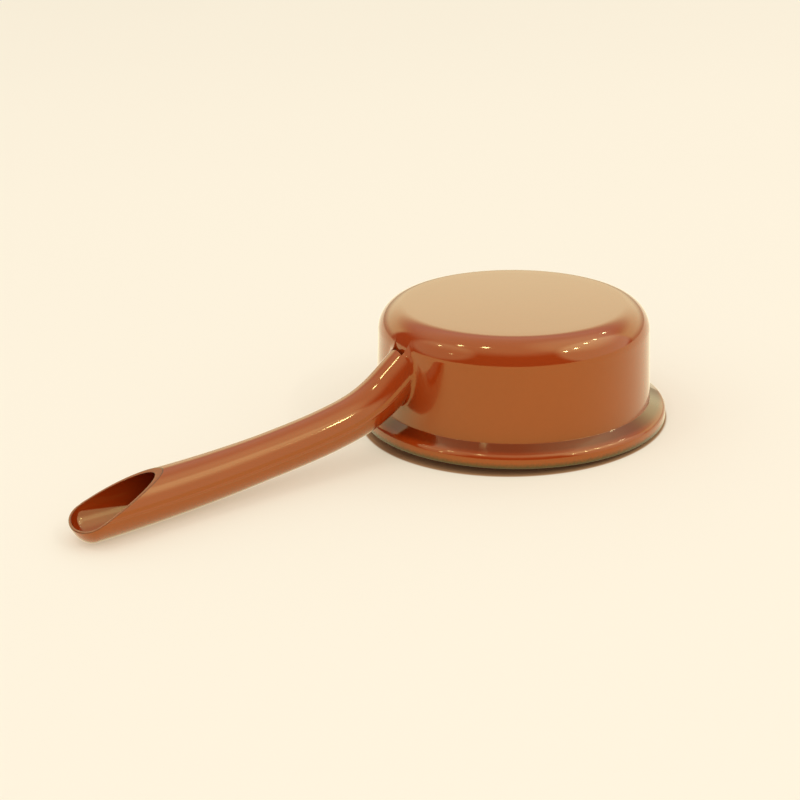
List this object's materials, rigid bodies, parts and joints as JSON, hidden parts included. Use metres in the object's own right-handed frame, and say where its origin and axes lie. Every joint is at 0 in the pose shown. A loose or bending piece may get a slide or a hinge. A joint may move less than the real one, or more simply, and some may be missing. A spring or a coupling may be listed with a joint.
{
  "type": "saucepan",
  "caption": "Small brown enamelled steel saucepan with a stepped lid ledge and a hollow curved handle whose open end is cut obliquely, lying mouth down.",
  "frame": {"origin": "centre of the base's outside face, which is on top because the pan is stored mouth down as pictured", "axes": "+Z out of the base, away from the mouth; the handle runs along -X; +Y completes the right-handed frame. In use the pan is turned over, half a turn about X, and stands on its base."},
  "size_m": [0.3495, 0.1706, 0.0738],
  "materials": {
    "enamel": "glossy brown vitreous enamel on steel",
    "weld_enamel": "the same glossy enamel over the weld beads, slightly uneven"
  },
  "bodies": {
    "root": {"vessel": "enamel", "handle_back_shell": "enamel", "handle_front_shell": "enamel", "seam_weld_left": "weld_enamel", "seam_weld_right": "weld_enamel", "foot_weld": "weld_enamel"}
  },
  "joints": []
}
